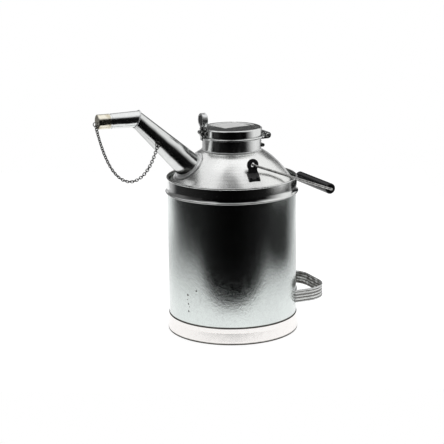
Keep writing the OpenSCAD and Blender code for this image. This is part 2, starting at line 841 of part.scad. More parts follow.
module cap_chain() {
    color(dark_steel) for (i = [0:chain_links - 1]) {
        a = chain_point(link_reach + i * link_pitch);
        b = chain_point(link_reach + (i + 1) * link_pitch);
        run = norm([b[0] - a[0], b[1] - a[1]]);
        translate((a + b) / 2) rotate([0, 0, chain_turn]) rotate([0, -atan2(b[2] - a[2], run), 0])
            rotate([i % 2 == 0 ? 0 : 90, 0, 0]) link();
    }
}

module chain_staple() {
    color(dark_steel) translate(bend) rotate([0, 90 + spout_pitch, 0]) rotate([0, 0, staple_angle - 90])
        translate([bend_r + spout_taper * staple_run, 0, staple_run]) rotate([0, atan(spout_taper), 0])
            intersection() {
                rotate([90, 0, 0]) ring_of(staple_r, eye_wire_r);
                translate([0.02, -5, -10]) cube([10, 10, 20]);
            }
}

module chain_ring() {
    color(dark_steel) translate(ring_c) rotate([0, 0, ring_turn]) rotate([90, 0, 0]) ring_of(ring_r, eye_wire_r);
}

module ear_rivet_places() {
    for (side = [0, 1]) mirror([0, side, 0])
        for (x = [-5.5, 5.5]) {
            reach = ear_y + ear_t / 2 + ear_foot_l * 0.55;
            away = norm([x, reach]);
            slope = atan2(shoulder_height(away - 1) - shoulder_height(away + 1), 2);
            rotate([0, 0, -90 + atan2(x, reach)])
                translate([away, 0, shoulder_height(away)]) rotate([0, slope, 0])
                    translate([0, 0, seat + ear_t + 1.6 * rivet_gap]) children();
        }
}

module ear() {
    neck_w = 15;
    color(dark_steel) difference() {
        union() {
            translate([0, -ear_y + ear_t / 2, ear_z]) rotate([90, 0, 0]) cylinder(r = ear_r, h = ear_t);
            translate([-neck_w / 2, -ear_y - ear_t / 2, ear_seat_z - 6]) cube([neck_w, ear_t, ear_z - ear_seat_z]);
            intersection() {
                under_shoulder(seat + ear_t);
                translate([-ear_foot_w / 2, -ear_y - ear_t / 2 - ear_foot_l, ear_seat_z - 2 * ear_foot_w])
                    cube([ear_foot_w, ear_foot_l + ear_t, 3 * ear_foot_w]);
            }
        }
        under_shoulder(seat);
        translate([0, -ear_y, ear_z]) rotate([90, 0, 0]) cylinder(r = ear_hole_r, h = 20, center = true);
        ear_rivet_places() rivet_hole(ear_rivet_r);
    }
}

module front_ear() {
    ear();
}

module rear_ear() {
    mirror([0, 1, 0]) ear();
}

module ear_rivets() {
    color(dark_steel) ear_rivet_places() tailed_rivet(ear_rivet_r, ear_t + sheet + 3 * seat + 2 * rivet_gap);
}

// Round wire along flat points, with an arc of radius bends[i] at each inner point
module wire_path(points, bends, r) {
    n = len(points) - 1;
    trims = [
        for (i = [0:n])
            i == 0 || i == n ? 0
                : let (
                    a = unit(points[i] - points[i - 1]),
                    b = unit(points[i + 1] - points[i])
                )
                bends[i] * tan(acos(max(-1, min(1, a * b))) / 2)
    ];
    for (i = [0:n - 1]) {
        d = unit(points[i + 1] - points[i]);
        a = points[i] + d * trims[i];
        b = points[i + 1] - d * trims[i + 1];
        translate([a[0], a[1], 0]) rotate([0, 0, atan2(d[1], d[0])]) rotate([0, 90, 0])
            translate([0, 0, -lap]) cylinder(r = r - eps, h = norm(b - a) + 2 * lap, $fn = 24);
    }
    for (i = [1:n - 1]) {
        a = unit(points[i] - points[i - 1]);
        b = unit(points[i + 1] - points[i]);
        left = a[0] * b[1] - a[1] * b[0] > 0;
        turn = acos(max(-1, min(1, a * b)));
        side = left ? [-a[1], a[0]] : [a[1], -a[0]];
        centre = points[i] - a * trims[i] + side * bends[i];
        start = atan2(-side[1], -side[0]);
        translate([centre[0], centre[1], 0]) rotate([0, 0, left ? start : start - turn])
            rotate_extrude(angle = turn) translate([bends[i], 0]) circle(r = r, $fn = 24);
    }
}

module in_bail_plane() {
    translate([0, 0, ear_z]) rotate([0, bail_rest, 0]) children();
}

module bail_wire() {
    color(dark_steel) in_bail_plane() wire_path(
        [
            [0, -bail_end_y], [0, -bail_ear_y], [bail_l, -corner_y],
            [bail_l, corner_y], [0, bail_ear_y], [0, bail_end_y]
        ],
        [0, 4, corner_r, corner_r, 4, 0], bail_wire_r
    );
}

module grip() {
    half = grip_l / 2;
    edge = 2.4;
    color("#1c1c1c") in_bail_plane() translate([bail_l, 0, 0]) rotate([90, 0, 0]) rotate_extrude() polygon(concat(
        [[grip_bore_r, half], [grip_bore_r, -half]],
        arc([grip_r - edge, -half + edge], edge, -90, 0, 4),
        arc([grip_r - edge, half - edge], edge, 0, 90, 4)
    ));
}

// Cross-section of the strap: x points out of the loop, y up
module strap_section() {
    half = tip_strap_w / 2;
    translate([-tip_strap_t, -half]) square([tip_strap_t, tip_strap_w]);
    for (y = [-half + tip_edge_r, half - tip_edge_r])
        translate([-tip_strap_t / 2, y]) circle(r = tip_edge_r, $fn = 20);
    step = (tip_strap_w - 4 * tip_edge_r) / tip_ribs;
    for (i = [0:tip_ribs - 1])
        translate([-tip_strap_t / 2, -half + 2 * tip_edge_r + step * (i + 0.5)]) circle(r = tip_rib_r, $fn = 20);
}

// Half of the loop on the +Y side
module strap_half() {
    corner_x = tip_x_end - tip_corner_r;
    corner_at_y = tip_half_w - tip_corner_r;
    translate([corner_x, tip_half_w, 0]) rotate([90, 0, -90]) mirror([1, 0, 0])
        linear_extrude(corner_x - body_r * 0.6) translate([0, 0]) strap_section();
    translate([corner_x, corner_at_y, 0]) rotate_extrude(angle = 90)
        translate([tip_corner_r, 0]) strap_section();
    translate([tip_x_end, corner_at_y, 0]) rotate([90, 0, 0])
        linear_extrude(corner_at_y) strap_section();
}

module handle_rivet_places() {
    for (a = rivet_angles)
        rotate([0, 0, a]) translate([tip_in_r + tip_strap_t + rivet_gap, 0, tip_handle_h])
            rotate([0, 90, 0]) children();
}

module tipping_handle() {
    color(steel) difference() {
        union() {
            translate([0, 0, tip_handle_h]) {
                strap_half();
                mirror([0, 1, 0]) strap_half();
            }
            curved_plate(tip_in_r, tip_strap_t, 2 * tip_half_w, tip_handle_h - tip_strap_w / 2,
                         tip_handle_h + tip_strap_w / 2);
        }
        cylinder(r = tip_in_r, h = rim_h);
        handle_rivet_places() rivet_hole(handle_rivet_r);
    }
}

module handle_rivets() {
    color(dark_steel) handle_rivet_places() tailed_rivet(handle_rivet_r, tip_strap_t + sheet + 3 * seat + 2 * rivet_gap);
}

body_shell();
foot_band();
bottom_disc();
top_band();
shoulder();
neck();
lid();
lid_gasket();
hinge_strap();
strap_rivets();
hinge_bracket();
bracket_rivets();
hinge_pin();
clasp_lug();
lug_rivets();
clasp_lever();
clasp_pin();
clasp_spring();
thumb_knob();
knob_rivet();
spout_lower();
spout_outlet();
spout_collar();
outlet_cap();
cap_eye();
cap_chain();
chain_staple();
chain_ring();
front_ear();
rear_ear();
ear_rivets();
bail_wire();
grip();
tipping_handle();
handle_rivets();
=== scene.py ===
from math import cos, pi, radians, sin

import bmesh
import bpy
from mathutils import Matrix, Vector, noise
from mathutils.bvhtree import BVHTree


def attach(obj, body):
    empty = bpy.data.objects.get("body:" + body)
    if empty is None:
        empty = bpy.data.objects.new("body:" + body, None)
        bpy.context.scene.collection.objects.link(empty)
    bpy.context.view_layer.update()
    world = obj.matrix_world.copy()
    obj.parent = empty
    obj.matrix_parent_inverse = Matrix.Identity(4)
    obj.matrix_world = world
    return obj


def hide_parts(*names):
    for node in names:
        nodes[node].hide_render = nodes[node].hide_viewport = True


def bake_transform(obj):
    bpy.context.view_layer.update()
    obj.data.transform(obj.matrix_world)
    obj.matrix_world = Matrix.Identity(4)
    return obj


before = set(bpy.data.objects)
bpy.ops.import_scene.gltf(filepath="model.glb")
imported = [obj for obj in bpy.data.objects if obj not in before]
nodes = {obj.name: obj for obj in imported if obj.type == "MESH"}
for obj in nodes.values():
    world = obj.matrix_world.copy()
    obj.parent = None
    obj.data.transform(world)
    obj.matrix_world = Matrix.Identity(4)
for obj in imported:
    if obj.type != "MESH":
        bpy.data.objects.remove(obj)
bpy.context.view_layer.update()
print("loaded", len(nodes), "CAD nodes")

# camera, standing 24 degrees to the left of square on
cameraSet = {
    "place": (-0.89295, -2.00560, 0.71350),
    "look": (0.38840919, 0.89069791, -0.2362108),
    "roll": -0.610,
    "lens": 109.57,
}


def placeCamera(s):
    look = Vector(s["look"]).normalized()
    side = look.cross(Vector((0, 0, 1))).normalized()
    top = side.cross(look)
    c, q = cos(radians(s["roll"])), sin(radians(s["roll"]))
    right = side * c + top * q
    up = top * c - side * q
    data = bpy.data.cameras.new("photoCamera")
    data.lens = s["lens"]
    data.sensor_width = 36
    data.clip_start = 0.05
    data.clip_end = 60
    cam = bpy.data.objects.new("photoCamera", data)
    bpy.context.scene.collection.objects.link(cam)
    turn = Matrix((right, up, -look)).transposed().to_4x4()
    cam.matrix_world = Matrix.Translation(s["place"]) @ turn
    bpy.context.scene.camera = cam


placeCamera(cameraSet)
print("camera placed")


# a socket that takes Python operators
class Value:
    def __init__(self, tree, socket):
        self.tree = tree
        self.socket = socket

    def math(self, operation, *others):
        node = self.tree.nodes.new("ShaderNodeMath")
        node.operation = operation
        for i, v in enumerate((self,) + others):
            if isinstance(v, Value):
                self.tree.links.new(v.socket, node.inputs[i])
            else:
                node.inputs[i].default_value = v
        return Value(self.tree, node.outputs[0])

    def flipped(self, operation, other):
        node = self.tree.nodes.new("ShaderNodeMath")
        node.operation = operation
        node.inputs[0].default_value = other
        self.tree.links.new(self.socket, node.inputs[1])
        return Value(self.tree, node.outputs[0])

    def __add__(self, o):
        return self.math("ADD", o)

    def __radd__(self, o):
        return self.math("ADD", o)

    def __sub__(self, o):
        return self.math("SUBTRACT", o)

    def __rsub__(self, o):
        return self.flipped("SUBTRACT", o)

    def __mul__(self, o):
        return self.math("MULTIPLY", o)

    def __rmul__(self, o):
        return self.math("MULTIPLY", o)

    def __truediv__(self, o):
        return self.math("DIVIDE", o)

    def __rtruediv__(self, o):
        return self.flipped("DIVIDE", o)

    def __pow__(self, o):
        return self.math("POWER", o)

    def __rpow__(self, o):
        return self.flipped("POWER", o)

    def __neg__(self):
        return self.math("MULTIPLY", -1.0)

    def __abs__(self):
        return self.math("ABSOLUTE")

    def least(self, o):
        return self.math("MINIMUM", o)

    def most(self, o):
        return self.math("MAXIMUM", o)


# a node tree with one way to add any node
class Tree:
    def __init__(self, tree):
        self.tree = tree
        tree.nodes.clear()

    def add(self, kind, settings=None, out=0, **sockets):
        node = self.tree.nodes.new("ShaderNode" + kind)
        for name, v in (settings or {}).items():
            if name == "stops":
                ramp = node.color_ramp
                while len(ramp.elements) > 1:
                    ramp.elements.remove(ramp.elements[-1])
                for i, (at, colour) in enumerate(v):
                    stop = ramp.elements[0] if i == 0 else ramp.elements.new(at)
                    stop.position = at
                    stop.color = colour
            else:
                setattr(node, name, v)
        for name, v in sockets.items():
            self.feed(node, name, v)
        return Value(self.tree, node.outputs[out]) if len(node.outputs) else None

    def feed(self, node, name, v):
        # a socket's name with _ for a space, or its number after an s
        key = int(name[1:]) if name[1:].isdigit() else name.replace("_", " ")
        if isinstance(v, Value):
            self.tree.links.new(v.socket, node.inputs[key])
        else:
            node.inputs[key].default_value = v

    def place(self):
        return self.add("TexCoord", out=3)

    def split(self, v):
        node = self.add("SeparateXYZ", s0=v).socket.node
        return [Value(self.tree, o) for o in node.outputs]

    def join(self, x, y, z):
        return self.add("CombineXYZ", s0=x, s1=y, s2=z)

    def noise(self, at, scale, detail=3.0, rough=0.55):
        return self.add("TexNoise", Vector=at, Scale=scale, Detail=detail, Roughness=rough)

    def ramp(self, v, low, high):
        node = self.add("MapRange", {"interpolation_type": "SMOOTHSTEP"}, s0=v, s1=low, s2=high)
        return node

    def mix(self, factor, a, b):
        return self.add("Mix", {"data_type": "RGBA"}, out=2, s0=factor, s6=a, s7=b)

    def straight(self):
        # rays from the camera, and those that metal or glass sends on
        return self.add("LightPath", out=0).most(self.add("LightPath", out=3)).most(self.add("LightPath", out=6))


class Finish(Tree):
    def __init__(self, name):
        self.mat = bpy.data.materials.new(name)
        self.mat.use_nodes = True
        super().__init__(self.mat.node_tree)
        self.at = self.place()
        self.x, self.y, self.z = self.split(self.at)

    def radius(self):
        return (self.x * self.x + self.y * self.y) ** 0.5

    def stretch(self, sx, sy, sz, turn=(0, 0, 0), middle=(0, 0, 0)):
        moved = self.add("Mapping", Vector=self.at, Location=tuple(-m for m in middle))
        turned = self.add("Mapping", Vector=moved, Rotation=turn)
        return self.add("Mapping", Vector=turned, Scale=(sx, sy, sz))

    def near(self, point, size):
        away = self.add("VectorMath", {"operation": "DISTANCE"}, out=1, s0=self.at, s1=point)
        return 1 - self.ramp(away, size * 0.45, size)

    def bump(self, height, distance, strength=1.0, under=None):
        sockets = {"Height": height, "Distance": distance, "Strength": strength}
        if under is not None:
            sockets["Normal"] = under
        return self.add("Bump", **sockets)

    def done(self, **sockets):
        shader = self.add("BsdfPrincipled", **sockets)
        self.add("OutputMaterial", Surface=shader)
        return self.mat


def dress(mat, *names):
    for name in names:
        for slot in nodes[name].material_slots:
            slot.material = mat


# zinc-coated sheet: the colours and sizes that all its pieces share
sheetLook = {
    "bright": (0.82, 0.83, 0.82, 1),
    "dull": (0.62, 0.64, 0.64, 1),
    # the dark colour for grime and for painted shade in seams and creases
    "grimeAndShade": (0.10, 0.095, 0.085, 1),
    "spangle": 230.0,
}

# each sheet piece: grain up, round, along or loose; dark bands as axis, level, width and amount, for grime and
# painted shade along seams, creases and rib gaps
spoutTurn = (0, -radians(133.5), 0)
bend = (-0.165, 0, 0.366)
sheetPieces = {
    "bodyZinc": {
        "on": ("body_shell",), "grain": "up", "rough": 0.13, "wave": 0.20, "waveSize": 9.0, "grit": 0.6,
        # painted shade in the seam over the foot band and under the top band
        "speckle": 0.6, "grains": (1100, 1100, 240), "bright": (0.735, 0.785, 0.765, 1), "grimeAndShade": (("z", 0.0276, 0.0022, 2.4), ("z", 0.2335, 0.003, 0.3)),
        "spots": (
            ((-0.0986, -0.0415, 0.0765), 0.0024), ((-0.0903, -0.0575, 0.0863), 0.0018),
            ((-0.0982, -0.0424, 0.0615), 0.0019), ((-0.0981, -0.0428, 0.0491), 0.0021),
            ((-0.0990, -0.0407, 0.0686), 0.0012), ((-0.0972, -0.0446, 0.0570), 0.0011),
        ),
    },
    "footZinc": {
        "on": ("foot_band", "bottom_disc"), "grain": "round", "rough": 0.18, "wave": 0.15, "waveSize": 12.0,
        "grit": 0.12, "tone": -0.45, "stain": 0.02, "bright": (0.93, 0.905, 0.885, 1),
        # painted shade along the foot's bottom edge and in the seam at its top
        "grimeAndShade": (("z", 0.0, 0.0036, 2.4), ("z", 0.0272, 0.0010, 1.8)),
    },
    "bandZinc": {
        "on": ("top_band",), "grain": "round", "rough": 0.11, "wave": 0.15, "waveSize": 12.0, "grit": 0.2,
        # painted shade where the top band meets the body, and on its inner face
        "grimeAndShade": (("z", 0.2338, 0.0012, 0.5),), "inside": 0.1074,
    },
    "shoulderZinc": {
        "on": ("shoulder",), "grain": "loose", "rough": 0.24, "wave": 0.35, "waveSize": 24.0, "grit": 0.3,
        "speckle": 0.2, "grains": (380, 380, 380), "tone": -0.14, "stain": 0.06, "bright": (0.90, 0.905, 0.89, 1),
        # painted shade in the gutter by the rim and at the neck's foot
        "grimeAndShade": (("r", 0.1062, 0.0060, 2.2), ("r", 0.0490, 0.0022, 0.3)),
    },
    "neckZinc": {
        "on": ("neck",), "grain": "up", "rough": 0.19, "wave": 0.20, "waveSize": 24.0, "grit": 0.3,
        # painted shade where the neck meets the shoulder
        "grimeAndShade": (("z", 0.3046, 0.0016, 0.6),),
    },
    "lidZinc": {
        "on": ("lid",), "grain": "round", "rough": 0.12, "wave": 0.22, "waveSize": 30.0, "grit": 0.25,
        # painted shade in the lid's crease lines
        "grimeAndShade": (("z", 0.3285, 0.0014, 0.4), ("r", 0.0405, 0.0016, 0.9)),
    },
    "spoutZinc": {
        "on": ("spout_lower",), "grain": "along", "rough": 0.16, "wave": 0.25, "waveSize": 30.0,
        "grit": 0.3, "turn": spoutTurn, "middle": bend,
    },
    "outletZinc": {
        "on": ("spout_outlet",), "grain": "along", "rough": 0.16, "wave": 0.25, "waveSize": 34.0, "grit": 0.25,
        "turn": (0, -pi / 2, 0), "middle": bend,
    },
    "handleZinc": {
        "on": ("tipping_handle",), "grain": "along", "rough": 0.20, "wave": 0.2, "waveSize": 30.0, "grit": 0.2,
        "tone": -0.10, "turn": (pi / 2, 0, 0),
        # painted shade in the gaps between the handle's ribs
        "grimeAndShade": (
            ("z", 0.0474, 0.0011, 2.3), ("z", 0.0519, 0.0010, 2.1), ("z", 0.0533, 0.0007, 1.6),
            ("z", 0.0570, 0.0011, 2.3), ("z", 0.0586, 0.0007, 1.6), ("z", 0.0626, 0.0011, 2.3),
        ),
        # where the handle's inner face gets painted shade
        "loop": (0.113, 0.021, 0.041),
    },
}


def zincSheet(name, s):
    f = Finish(name)
    grain, grit = s["grain"], s["grit"]
    if grain == "up":
        lines = f.stretch(900, 900, 24)
    elif grain == "round":
        turned = f.add("Math", {"operation": "ARCTAN2"}, s0=f.y, s1=f.x)
        lines = f.join(f.radius() * 900, f.z * 900, turned * 2.0)
    elif grain == "along":
        lines = f.stretch(900, 900, 24, s.get("turn", (0, 0, 0)), s.get("middle", (0, 0, 0)))
    else:
        lines = f.stretch(300, 300, 300)
    thread = f.noise(lines, 1.0, 2.0, 0.6)
    fine = f.noise(f.at, 900, 2.0, 0.7)
    flake = f.add("TexVoronoi", {"feature": "F1"}, out=1, Vector=f.at, Scale=sheetLook["spangle"], Randomness=1.0)
    flakeTone = f.split(flake)[0]
    cloud = f.noise(f.at, 22, 4.0, 0.6)
    wear = f.ramp(f.noise(f.stretch(9, 9, 5), 1.0, 3.0, 0.5), 0.46, 0.72)
    dull = flakeTone * 0.20 + thread * grit * 0.5 + cloud * 0.42 + wear * 0.2 + (s.get("tone", 0.0) - 0.30)
    colour = f.mix(dull.most(0.0).least(1.0), s.get("bright", sheetLook["bright"]), sheetLook["dull"])
    dirtAndShade = f.ramp(f.noise(f.at, 75, 5.0, 0.7), 0.58, 0.8) * s.get("stain", 0.12)
    smear = f.noise(f.at, 110, 4.0, 0.7) * 0.9 + 0.25
    # dark bands along seams, creases and rib gaps: painted shade mixed with grime
    for axis, level, width, amount in s.get("grimeAndShade", ()):
        line = f.z if axis == "z" else f.radius()
        dirtAndShade = dirtAndShade + (1 - f.ramp(abs(line - level), width * 0.2, width)) * smear * amount
    # painted shade on the top band's inner face, above z 0.240
    if "inside" in s:
        paintedDark = (1 - f.ramp(f.radius(), s["inside"], s["inside"] + 0.0003)) * f.ramp(f.z, 0.240, 0.246)
        dirtAndShade = dirtAndShade + paintedDark * 0.75
    if "loop" in s:
        # painted shade, in blotches, on the inner face of a strap that bends round a rounded box
        mainX, mainY, round = s["loop"]
        overX, overY = f.x - mainX, abs(f.y) - mainY
        out = (overX.most(0.0) ** 2.0 + overY.most(0.0) ** 2.0) ** 0.5 + overX.most(overY).least(0.0) - round
        face = 1 - f.ramp(out, -0.0009, -0.0004)
        dirtAndShade = dirtAndShade + face * (0.10 + 0.72 * f.ramp(f.noise(f.at, 110, 3.0, 0.6), 0.38, 0.60))
    for point, size in s.get("spots", ()):
        dirtAndShade = dirtAndShade + f.near(point, size) * 0.95
    dirtAndShade = dirtAndShade.least(1.0)
    colour = f.mix(dirtAndShade, colour, sheetLook["grimeAndShade"])
    rough = s["rough"] + flakeTone * 0.04 + (thread - 0.5) * 0.16 * grit + (fine - 0.5) * 0.05 + dirtAndShade * 0.3
    wide = f.bump(f.noise(f.at, s["waveSize"], 1.0, 0.4), 0.006, s["wave"])
    if "speckle" in s:
        grains = f.noise(f.stretch(*s["grains"]), 1.0, 2.0, 0.6)
        wide = f.bump(grains, 0.0003, s["speckle"], wide)
    ground = f.bump(thread * 0.6 + fine * 0.4, 0.0001, grit, wide)
    return f.done(Base_Color=colour, Metallic=1.0, Roughness=rough, Normal=ground)


# drawn wire, stampings and rivets
metalLook = {
    "bright": {"light": (0.74, 0.75, 0.74, 1), "dark": (0.42, 0.43, 0.43, 1), "rough": 0.22},
    "wire": {"light": (0.50, 0.50, 0.49, 1), "dark": (0.16, 0.155, 0.15, 1), "rough": 0.26},
    "fitting": {"light": (0.60, 0.61, 0.60, 1), "dark": (0.20, 0.20, 0.19, 1), "rough": 0.22},
    "rivet": {"light": (0.60, 0.61, 0.60, 1), "dark": (0.26, 0.26, 0.25, 1), "rough": 0.30},
    "chain": {"light": (0.14, 0.135, 0.13, 1), "dark": (0.035, 0.033, 0.030, 1), "rough": 0.34},
    "cap": {"light": (0.86, 0.82, 0.70, 1), "dark": (0.58, 0.52, 0.38, 1), "rough": 0.17},
    "knob": {"light": (0.78, 0.79, 0.79, 1), "dark": (0.30, 0.30, 0.30, 1), "rough": 0.24},
    "solder": {"light": (0.94, 0.945, 0.94, 1), "dark": (0.80, 0.81, 0.81, 1), "rough": 0.50},
}


def smallMetal(name, look, size=900.0, scratch=0.5, dark=None):
    s = metalLook[look]
    f = Finish(name)
    cloud = f.noise(f.at, size * 0.22, 4.0, 0.65)
    fine = f.noise(f.at, size * 1.6, 2.0, 0.6)
    lines = f.noise(f.stretch(size * 2.2, size * 0.12, size * 0.5, (0.4, 0.2, 0.9)), 1.0, 3.0, 0.6)
    mark = f.ramp(lines, 0.6, 0.7) * scratch
    stain = f.ramp(cloud, 0.44, 0.66)
    colour = f.mix(stain * 0.75 + mark * 0.2, s["light"], s["dark"])
    rough = s["rough"] + stain * 0.14 + (fine - 0.5) * 0.12 - mark * 0.05
    # painted dark reflection: the knob's face is coloured near black within reach of the given middle
    if dark:
        middle, reach = dark
        away = f.add("VectorMath", {"operation": "DISTANCE"}, out=1, s0=f.at, s1=middle)
        paintedDark = 1 - f.ramp(away, reach - 0.0005, reach)
        colour = f.mix(paintedDark * 0.94, colour, (0.055, 0.055, 0.054, 1))
        rough = rough + paintedDark * 0.16
    normal = f.bump(fine * 0.5 + lines * 0.5, 0.0001, 0.3)
    return f.done(Base_Color=colour, Metallic=1.0, Roughness=rough, Normal=normal)


# black enamel on the ears, rubbed through here and there
def blackEnamel(name, rub=0.5):
    f = Finish(name)
    cloud = f.noise(f.at, 260, 4.0, 0.7)
    fine = f.noise(f.at, 1500, 3.0, 0.6)
    bare = f.ramp(cloud * 0.7 + fine * 0.3, 0.60, 0.68) * rub
    colour = f.mix(bare, (0.018, 0.018, 0.019, 1), (0.36, 0.35, 0.33, 1))
    rough = 0.34 + fine * 0.16 - bare * 0.06
    normal = f.bump(fine * 0.6 + cloud * 0.4, 0.00018, 0.5)
    return f.done(Base_Color=colour, Metallic=bare * 0.9, Roughness=rough, Normal=normal, Specular_IOR_Level=0.5)


def gripBlack(name):
    f = Finish(name)
    skin = f.noise(f.at, 900, 3.0, 0.6)
    rubbed = f.ramp(f.noise(f.stretch(60, 14, 60), 1.0, 4.0, 0.6), 0.48, 0.72)
    scratch = f.ramp(f.noise(f.stretch(900, 60, 900), 1.0, 2.0, 0.6), 0.66, 0.74)
    colour = f.mix(rubbed * 0.6 + scratch * 0.3, (0.010, 0.010, 0.011, 1), (0.045, 0.045, 0.046, 1))
    rough = 0.16 + rubbed * 0.16 + scratch * 0.2 + (skin - 0.5) * 0.06
    normal = f.bump(skin * 0.6 + scratch * 0.4, 0.0001, 0.15)
    return f.done(Base_Color=colour, Metallic=0.0, Roughness=rough, Normal=normal, Specular_IOR_Level=0.35)


def rubberSeal(name):
    f = Finish(name)
    fine = f.noise(f.at, 1100, 4.0, 0.7)
    bloom = f.ramp(f.noise(f.at, 90, 4.0, 0.6), 0.45, 0.75)
    colour = f.mix(bloom * 0.4, (0.030, 0.028, 0.026, 1), (0.12, 0.115, 0.11, 1))
    return f.done(Base_Color=colour, Metallic=0.0, Roughness=0.62 + fine * 0.2, Normal=f.bump(fine, 0.0002, 0.5))


for sheetName, sheetSet in sheetPieces.items():
    dress(zincSheet(sheetName, sheetSet), *sheetSet["on"])
dress(smallMetal("wireSteel", "wire", 700), "bail_wire", "cap_eye")
dress(smallMetal("fittingSteel", "fitting", 500), "hinge_strap", "hinge_bracket", "hinge_pin", "clasp_lug", "clasp_lever",
      "clasp_pin")
dress(smallMetal("springSteel", "rivet", 900), "clasp_spring")
dress(smallMetal("rivetSteel", "rivet", 800), "strap_rivets", "bracket_rivets", "lug_rivets", "knob_rivet",
      "handle_rivets")
chainSteel = smallMetal("chainSteel", "chain", 900)
dress(chainSteel, "cap_chain", "chain_ring", "chain_staple")
dress(smallMetal("capZinc", "cap", 420), "outlet_cap")
# the knob's face gets a painted dark reflection
dress(smallMetal("knobSteel", "knob", 600, dark=((-0.0501, 0, 0.3557), 0.0098)), "thumb_knob")
dress(blackEnamel("earBlack"), "front_ear", "rear_ear", "ear_rivets")
dress(gripBlack("gripTube"), "grip")
dress(rubberSeal("sealRubber"), "lid_gasket")
print("finishes made")


# solder where sheets meet, and a blank paper label on the lid
solderRuns = {
    "neck": {"ring": 0.0486, "height": 0.3046, "thick": 0.0010},
    "foot": {"thick": 0.0028, "out": 0.0262},
    "mitre": {"thick": 0.0011, "out": 0.0133},
}
solderMetal = smallMetal("solderTin", "solder", 350, 0.2)
dress(solderMetal, "spout_collar")


def newPiece(name, bm, mat, body=None):
    bmesh.ops.recalc_face_normals(bm, faces=bm.faces)
    mesh = bpy.data.meshes.new(name)
    bm.to_mesh(mesh)
    bm.free()
    mesh.materials.append(mat)
    for face in mesh.polygons:
        face.use_smooth = True
    piece = bpy.data.objects.new(name, mesh)
    bpy.context.scene.collection.objects.link(piece)
    if body:
        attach(piece, body)
    return piece


def neckSolder(s):
    bm = bmesh.new()
    bmesh.ops.create_circle(bm, segments=10, radius=s["thick"])
    bmesh.ops.rotate(bm, verts=bm.verts, matrix=Matrix.Rotation(pi / 2, 3, "X"))
    bmesh.ops.translate(bm, verts=bm.verts, vec=(s["ring"], 0, s["height"]))
    bmesh.ops.spin(bm, geom=bm.verts[:] + bm.edges[:], cent=(0, 0, 0), axis=(0, 0, 1), angle=2 * pi, steps=144,
                   use_merge=True)
    bmesh.ops.remove_doubles(bm, verts=bm.verts, dist=0.00001)
    for v in bm.verts:
        v.co += Vector((v.co.x, v.co.y, 0)).normalized() * noise.noise(v.co * 90) * s["thick"] * 0.5
    newPiece("neckSolder", bm, solderMetal, "can")


def beadAlong(name, points, thick):
    curve = bpy.data.curves.new(name, "CURVE")
    curve.dimensions = "3D"
    curve.bevel_depth = thick
    curve.bevel_resolution = 2
    run = curve.splines.new("NURBS")
    run.points.add(len(points) - 1)
    for knot, at in zip(run.points, points):
        knot.co = (*at, 1)
        knot.radius = 1 + 0.25 * noise.noise(at * 120)
    run.use_cyclic_u = True
    run.order_u = 3
    curve.materials.append(solderMetal)
    bead = bpy.data.objects.new(name, curve)
    bpy.context.scene.collection.objects.link(bead)
    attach(bead, "can")


def surfaceOf(*names):
    bm = bmesh.new()
    for name in names:
        bm.from_mesh(nodes[name].data)
    tree = BVHTree.FromBMesh(bm)
    bm.free()
    return tree


def spoutSolder(s):
    dome = surfaceOf("shoulder")
    down = Vector((0.0880, 0, -0.0834)).normalized()
    sideways = Vector((0, 1, 0))
    upward = sideways.cross(down)
    ring = []
    for i in range(48):
        a = 2 * pi * i / 48
        start = Vector(bend) + (sideways * cos(a) + upward * sin(a)) * s["foot"]["out"] + down * 0.04
        hit = dome.ray_cast(start, down)[0]
        if hit:
            ring.append(hit)
    beadAlong("spoutSolder", ring, s["foot"]["thick"])
    ring = []
    across = (Vector((-1, 0, 0)) - down).normalized()
    for i in range(40):
        a = 2 * pi * i / 40
        side = (sideways * cos(a) + Vector((0, 0, 1)) * sin(a)) * s["mitre"]["out"]
        side.x = -side.dot(across) / across.x
        ring.append(Vector(bend) + side)
    beadAlong("mitreSolder", ring, s["mitre"]["thick"])


neckSolder(solderRuns["neck"])
spoutSolder(solderRuns)

# finer links, hung where the CAD chain hangs
chainLinks = {"ring": 0.0022, "wire": 0.00064, "long": 1.25, "turn": 28, "sway": 22}


def linkMiddles():
    bm = bmesh.new()
    bm.from_mesh(nodes["cap_chain"].data)
    bmesh.ops.remove_doubles(bm, verts=bm.verts, dist=0.000001)
    left = set(bm.verts)
    middles = []
    while left:
        front = [left.pop()]
        link = []
        while front:
            v = front.pop()
            link.append(v.co)
            beside = [e.other_vert(v) for e in v.link_edges]
            front += [o for o in beside if o in left]
            left.difference_update(beside)
        middles.append(sum(link, Vector()) / len(link))
    bm.free()
    return sorted(middles, key=lambda m: m.x)


